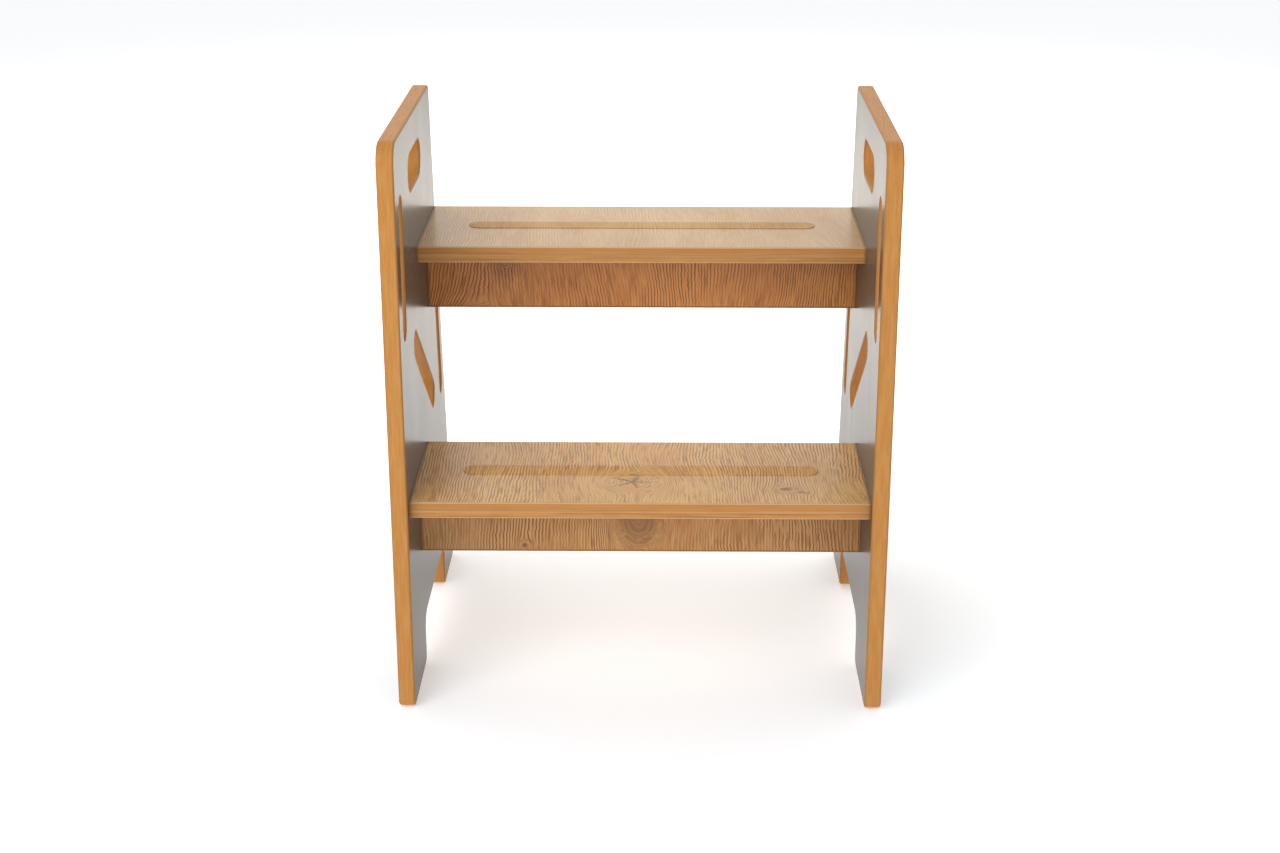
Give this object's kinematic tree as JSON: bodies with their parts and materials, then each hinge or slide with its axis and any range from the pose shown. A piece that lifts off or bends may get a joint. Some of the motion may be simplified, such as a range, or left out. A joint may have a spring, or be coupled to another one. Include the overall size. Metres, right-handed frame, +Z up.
{
  "type": "step stool",
  "caption": "Step stool with treads on side panels that have handle holes, round-ended slots and arched feet, with clear grip strips.",
  "frame": {"origin": "on the floor, at the middle of the footprint", "axes": "+Z up, the front of the stool faces -Y, +X to the right as seen from the front"},
  "size_m": [0.4408, 0.3514, 0.522],
  "materials": {
    "grey_board": "fibreboard with satin dark taupe-grey faces and clear-lacquered bare edges",
    "oak_board": "oak-look board, satin",
    "grip_film": "clear, finely textured non-slip film",
    "pad_rubber": "dark brown, matt",
    "screw_steel": "zinc-plated",
    "cap_plastic": "dark taupe-grey, satin",
    "dowel_wood": "plain beech"
  },
  "bodies": {
    "root": {"side_panel_left": "grey_board", "side_panel_right": "grey_board", "tread_lower": "oak_board", "tread_upper": "oak_board", "apron_lower": "oak_board", "apron_upper": "oak_board", "grip_strip_lower": "grip_film", "grip_strip_upper": "grip_film", "foot_pad_front_left": "pad_rubber", "foot_pad_front_right": "pad_rubber", "foot_pad_rear_left": "pad_rubber", "foot_pad_rear_right": "pad_rubber", "confirmat_screws_left": "screw_steel", "confirmat_screws_right": "screw_steel", "screw_caps_left": "cap_plastic", "screw_caps_right": "cap_plastic", "end_dowels_left": "dowel_wood", "end_dowels_right": "dowel_wood", "apron_dowels_lower": "dowel_wood", "apron_dowels_upper": "dowel_wood"}
  },
  "joints": []
}
